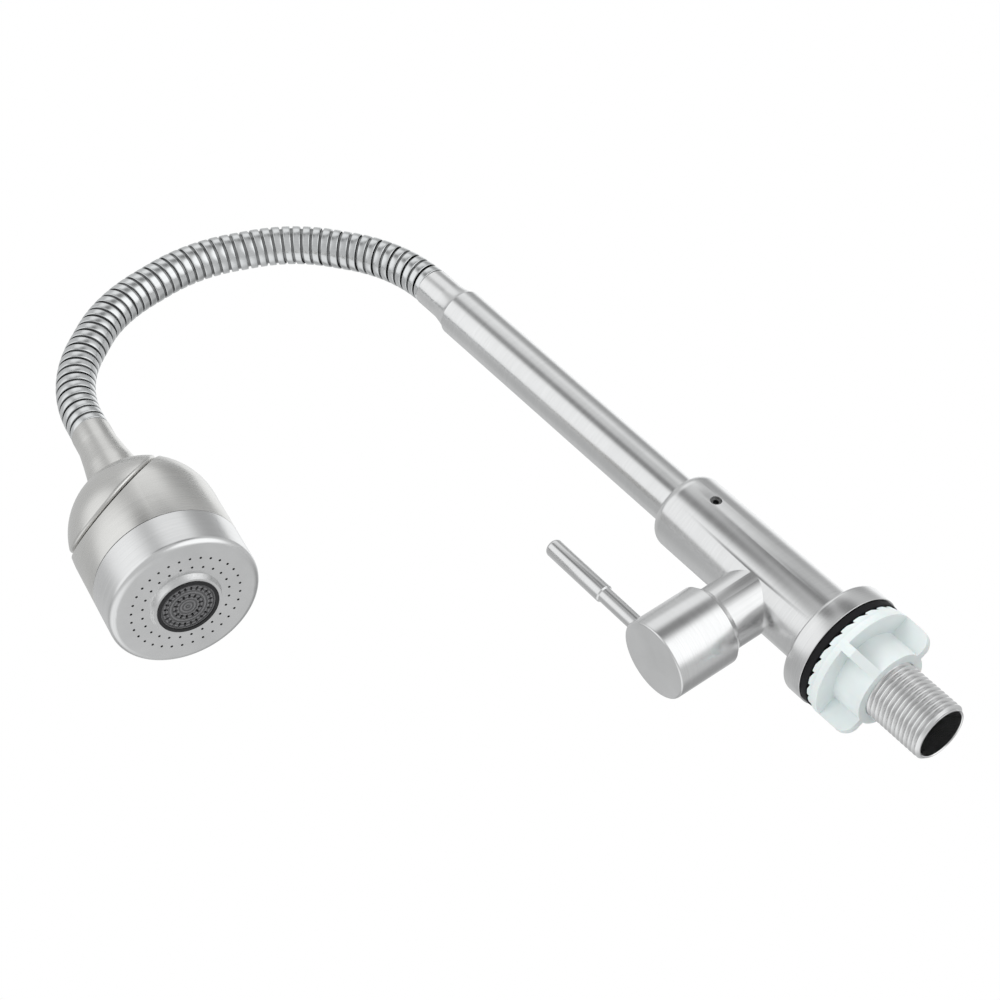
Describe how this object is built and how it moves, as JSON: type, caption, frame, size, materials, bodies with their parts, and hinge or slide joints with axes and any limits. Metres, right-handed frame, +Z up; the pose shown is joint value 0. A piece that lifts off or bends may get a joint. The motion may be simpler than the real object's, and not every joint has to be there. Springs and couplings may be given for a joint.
{
  "type": "flexible spout tap",
  "caption": "Single-lever sink tap on a threaded shank, with a swivelling riser, a bendable ribbed gooseneck and a spray head that turns on an oblique joint.",
  "frame": {"origin": "centre of the tap hole at the upper face of the deck, on the axis of shank, body and riser", "axes": "+Z up along the riser; +X from the riser towards the handle and the bent spout; +Y completes the right-handed set"},
  "size_m": [0.2017, 0.0537, 0.3366],
  "materials": {
    "body_steel": "brushed stainless steel",
    "spout_steel": "brushed stainless steel",
    "hose_steel": "satin stripwound stainless steel",
    "head_steel": "brushed stainless steel",
    "shank_steel": "turned stainless steel, threaded",
    "bearing_brass": "machined brass",
    "white_plastic": "white moulded plastic",
    "core_plastic": "grey moulded plastic",
    "black_plastic": "black moulded plastic",
    "black_rubber": "black rubber",
    "ceramic": "ground ceramic, carried as hard plastic"
  },
  "bodies": {
    "base": {"tap_body": "body_steel", "base_flange": "body_steel", "deck_washer": "black_rubber", "threaded_shank": "shank_steel", "spout_set_screw": "shank_steel", "cartridge_body": "bearing_brass", "cartridge_seat": "black_rubber", "fixed_disc": "ceramic", "cartridge_o_rings": "black_rubber"},
    "grip_ring": {"lock_washer": "white_plastic"},
    "nut": {"wing_nut": "white_plastic"},
    "handle": {"moving_disc": "ceramic", "cartridge_spindle": "bearing_brass", "handle_cap": "body_steel", "handle_lever": "body_steel", "handle_grub_screw": "shank_steel"},
    "riser": {"riser_tube": "spout_steel", "riser_spigot": "bearing_brass", "riser_o_rings": "black_rubber", "riser_wear_ring": "white_plastic", "hose_ferrule": "spout_steel", "inner_hose": "black_rubber", "gooseneck_link_00": "hose_steel"},
    "link_01": {"gooseneck_link_01": "hose_steel"},
    "link_02": {"gooseneck_link_02": "hose_steel"},
    "link_03": {"gooseneck_link_03": "hose_steel"},
    "link_04": {"gooseneck_link_04": "hose_steel"},
    "link_05": {"gooseneck_link_05": "hose_steel"},
    "link_06": {"gooseneck_link_06": "hose_steel"},
    "link_07": {"gooseneck_link_07": "hose_steel"},
    "link_08": {"gooseneck_link_08": "hose_steel"},
    "link_09": {"gooseneck_link_09": "hose_steel"},
    "link_10": {"gooseneck_link_10": "hose_steel"},
    "link_11": {"gooseneck_link_11": "hose_steel"},
    "link_12": {"gooseneck_link_12": "hose_steel"},
    "link_13": {"gooseneck_link_13": "hose_steel"},
    "link_14": {"gooseneck_link_14": "hose_steel"},
    "link_15": {"gooseneck_link_15": "hose_steel"},
    "link_16": {"gooseneck_link_16": "hose_steel"},
    "link_17": {"gooseneck_link_17": "hose_steel"},
    "link_18": {"gooseneck_link_18": "hose_steel"},
    "link_19": {"gooseneck_link_19": "hose_steel"},
    "link_20": {"gooseneck_link_20": "hose_steel"},
    "link_21": {"gooseneck_link_21": "hose_steel"},
    "link_22": {"gooseneck_link_22": "hose_steel"},
    "link_23": {"gooseneck_link_23": "hose_steel"},
    "link_24": {"gooseneck_link_24": "hose_steel"},
    "link_25": {"gooseneck_link_25": "hose_steel"},
    "neck": {"gooseneck_link_26": "hose_steel", "swivel_cap": "head_steel", "swivel_stem": "bearing_brass", "swivel_o_ring": "black_rubber"},
    "head": {"head_shell": "head_steel", "head_core": "core_plastic", "core_o_ring": "black_rubber"},
    "spray_ring": {"spray_cup": "head_steel", "diverter_plate": "core_plastic", "aerator_housing": "black_plastic", "aerator_insert": "black_plastic", "aerator_gasket": "black_rubber"}
  },
  "joints": [
    {"name": "spout_swivel", "type": "hinge", "parent": "base", "child": "riser", "pos_m": [0, 0, 0.0694], "axis": [0, 0, 1], "continuous": true},
    {"name": "spout_bend", "type": "hinge", "parent": "riser", "child": "link_01", "pos_m": [0, 0, 0.2267], "axis": [0, 1, 0], "range_deg": [-7.4, 0.5], "deforming": ["inner_hose"]},
    {"name": "bend_01", "type": "hinge", "parent": "link_01", "child": "link_02", "pos_m": [0.00095, 0, 0.23404], "axis": [0, 1, 0], "range_deg": [-7.41, 0.51]},
    {"name": "bend_02", "type": "hinge", "parent": "link_02", "child": "link_03", "pos_m": [0.00284, 0, 0.24119], "axis": [0, 1, 0], "range_deg": [-7.41, 0.51]},
    {"name": "bend_03", "type": "hinge", "parent": "link_03", "child": "link_04", "pos_m": [0.00564, 0, 0.24804], "axis": [0, 1, 0], "range_deg": [-7.41, 0.51]},
    {"name": "bend_04", "type": "hinge", "parent": "link_04", "child": "link_05", "pos_m": [0.00929, 0, 0.25448], "axis": [0, 1, 0], "range_deg": [-7.41, 0.51]},
    {"name": "spout_sway", "type": "hinge", "parent": "link_05", "child": "link_06", "pos_m": [0.01375, 0, 0.26039], "axis": [0.7986, 0, -0.6018], "range_deg": [-7.5, 7.5], "deforming": ["inner_hose"]},
    {"name": "bend_06", "type": "hinge", "parent": "link_06", "child": "link_07", "pos_m": [0.0182, 0, 0.2663], "axis": [0, 1, 0], "range_deg": [-7.41, 0.51]},
    {"name": "bend_07", "type": "hinge", "parent": "link_07", "child": "link_08", "pos_m": [0.02338, 0, 0.27159], "axis": [0, 1, 0], "range_deg": [-7.41, 0.51]},
    {"name": "bend_08", "type": "hinge", "parent": "link_08", "child": "link_09", "pos_m": [0.02919, 0, 0.27616], "axis": [0, 1, 0], "range_deg": [-7.41, 0.51]},
    {"name": "bend_09", "type": "hinge", "parent": "link_09", "child": "link_10", "pos_m": [0.03555, 0, 0.27995], "axis": [0, 1, 0], "range_deg": [-7.06, 0.49]},
    {"name": "sway_10", "type": "hinge", "parent": "link_10", "child": "link_11", "pos_m": [0.04232, 0, 0.28293], "axis": [0.4027, 0, -0.9153], "range_deg": [-7.5, 7.5]},
    {"name": "bend_11", "type": "hinge", "parent": "link_11", "child": "link_12", "pos_m": [0.0491, 0, 0.28591], "axis": [0, 1, 0], "range_deg": [-7.06, 0.49]},
    {"name": "bend_12", "type": "hinge", "parent": "link_12", "child": "link_13", "pos_m": [0.05619, 0, 0.28804], "axis": [0, 1, 0], "range_deg": [-7.06, 0.49]},
    {"name": "bend_13", "type": "hinge", "parent": "link_13", "child": "link_14", "pos_m": [0.06348, 0, 0.28928], "axis": [0, 1, 0], "range_deg": [-7.06, 0.49]},
    {"name": "bend_14", "type": "hinge", "parent": "link_14", "child": "link_15", "pos_m": [0.07087, 0, 0.28961], "axis": [0, 1, 0], "range_deg": [-7.06, 0.49]},
    {"name": "sway_15", "type": "hinge", "parent": "link_15", "child": "link_16", "pos_m": [0.07825, 0, 0.28904], "axis": [-0.0776, 0, -0.997], "range_deg": [-7.5, 7.5]},
    {"name": "bend_16", "type": "hinge", "parent": "link_16", "child": "link_17", "pos_m": [0.08563, 0, 0.28847], "axis": [0, 1, 0], "range_deg": [-7.06, 0.49]},
    {"name": "bend_17", "type": "hinge", "parent": "link_17", "child": "link_18", "pos_m": [0.09288, 0, 0.28699], "axis": [0, 1, 0], "range_deg": [-7.06, 0.49]},
    {"name": "bend_18", "type": "hinge", "parent": "link_18", "child": "link_19", "pos_m": [0.0999, 0, 0.28464], "axis": [0, 1, 0], "range_deg": [-8.51, 0.58]},
    {"name": "bend_19", "type": "hinge", "parent": "link_19", "child": "link_20", "pos_m": [0.10649, 0, 0.28127], "axis": [0, 1, 0], "range_deg": [-8.51, 0.58]},
    {"name": "sway_20", "type": "hinge", "parent": "link_20", "child": "link_21", "pos_m": [0.11251, 0, 0.27697], "axis": [-0.5814, 0, -0.8136], "range_deg": [-7.5, 7.5]},
    {"name": "bend_21", "type": "hinge", "parent": "link_21", "child": "link_22", "pos_m": [0.11853, 0, 0.27267], "axis": [0, 1, 0], "range_deg": [-8.51, 0.58]},
    {"name": "bend_22", "type": "hinge", "parent": "link_22", "child": "link_23", "pos_m": [0.12385, 0, 0.26752], "axis": [0, 1, 0], "range_deg": [-8.51, 0.58]},
    {"name": "bend_23", "type": "hinge", "parent": "link_23", "child": "link_24", "pos_m": [0.12835, 0, 0.26165], "axis": [0, 1, 0], "range_deg": [-8.51, 0.58]},
    {"name": "bend_24", "type": "hinge", "parent": "link_24", "child": "link_25", "pos_m": [0.13193, 0, 0.25517], "axis": [0, 1, 0], "range_deg": [-8.51, 0.58]},
    {"name": "bend_25", "type": "hinge", "parent": "link_25", "child": "neck", "pos_m": [0.13451, 0.00017, 0.24824], "axis": [-0.0079, 0.9997, 0.0213], "range_deg": [-8.51, 0.58]},
    {"name": "head_swivel", "type": "hinge", "parent": "neck", "child": "head", "pos_m": [0.14801, 0.00311, 0.18442], "axis": [0.3061, 0.4587, 0.8342], "continuous": true},
    {"name": "mode_turn", "type": "hinge", "parent": "head", "child": "spray_ring", "pos_m": [0.15539, 0.00472, 0.14953], "axis": [0.2067, 0.0451, -0.9774], "range_deg": [0, 90]},
    {"name": "handle_turn", "type": "hinge", "parent": "base", "child": "handle", "pos_m": [0, 0, 0.03875], "axis": [1, 0, 0], "range_deg": [0, 90]},
    {"name": "nut_travel", "type": "slide", "parent": "base", "child": "grip_ring", "axis": [0, 0, 1], "range_m": [-0.012, 0]},
    {"name": "nut_turn", "type": "hinge", "parent": "grip_ring", "child": "nut", "pos_m": [0, 0, -0.01], "axis": [0, 0, 1], "range_deg": [-2400, 2]}
  ],
  "couplings": [
    {"joint": "bend_01", "follows": "spout_bend", "ratio": 1},
    {"joint": "bend_02", "follows": "spout_bend", "ratio": 1},
    {"joint": "bend_03", "follows": "spout_bend", "ratio": 1},
    {"joint": "bend_04", "follows": "spout_bend", "ratio": 1},
    {"joint": "bend_06", "follows": "spout_bend", "ratio": 1},
    {"joint": "bend_07", "follows": "spout_bend", "ratio": 1},
    {"joint": "bend_08", "follows": "spout_bend", "ratio": 1},
    {"joint": "bend_09", "follows": "spout_bend", "ratio": 0.9527},
    {"joint": "sway_10", "follows": "spout_sway", "ratio": 1},
    {"joint": "bend_11", "follows": "spout_bend", "ratio": 0.9527},
    {"joint": "bend_12", "follows": "spout_bend", "ratio": 0.9527},
    {"joint": "bend_13", "follows": "spout_bend", "ratio": 0.9527},
    {"joint": "bend_14", "follows": "spout_bend", "ratio": 0.9527},
    {"joint": "sway_15", "follows": "spout_sway", "ratio": 1},
    {"joint": "bend_16", "follows": "spout_bend", "ratio": 0.9527},
    {"joint": "bend_17", "follows": "spout_bend", "ratio": 0.9527},
    {"joint": "bend_18", "follows": "spout_bend", "ratio": 1.1486},
    {"joint": "bend_19", "follows": "spout_bend", "ratio": 1.1486},
    {"joint": "sway_20", "follows": "spout_sway", "ratio": 1},
    {"joint": "bend_21", "follows": "spout_bend", "ratio": 1.1486},
    {"joint": "bend_22", "follows": "spout_bend", "ratio": 1.1486},
    {"joint": "bend_23", "follows": "spout_bend", "ratio": 1.1486},
    {"joint": "bend_24", "follows": "spout_bend", "ratio": 1.1486},
    {"joint": "bend_25", "follows": "spout_bend", "ratio": 1.1486},
    {"joint": "nut_turn", "follows": "nut_travel", "rad_per_m": 3463.7}
  ]
}
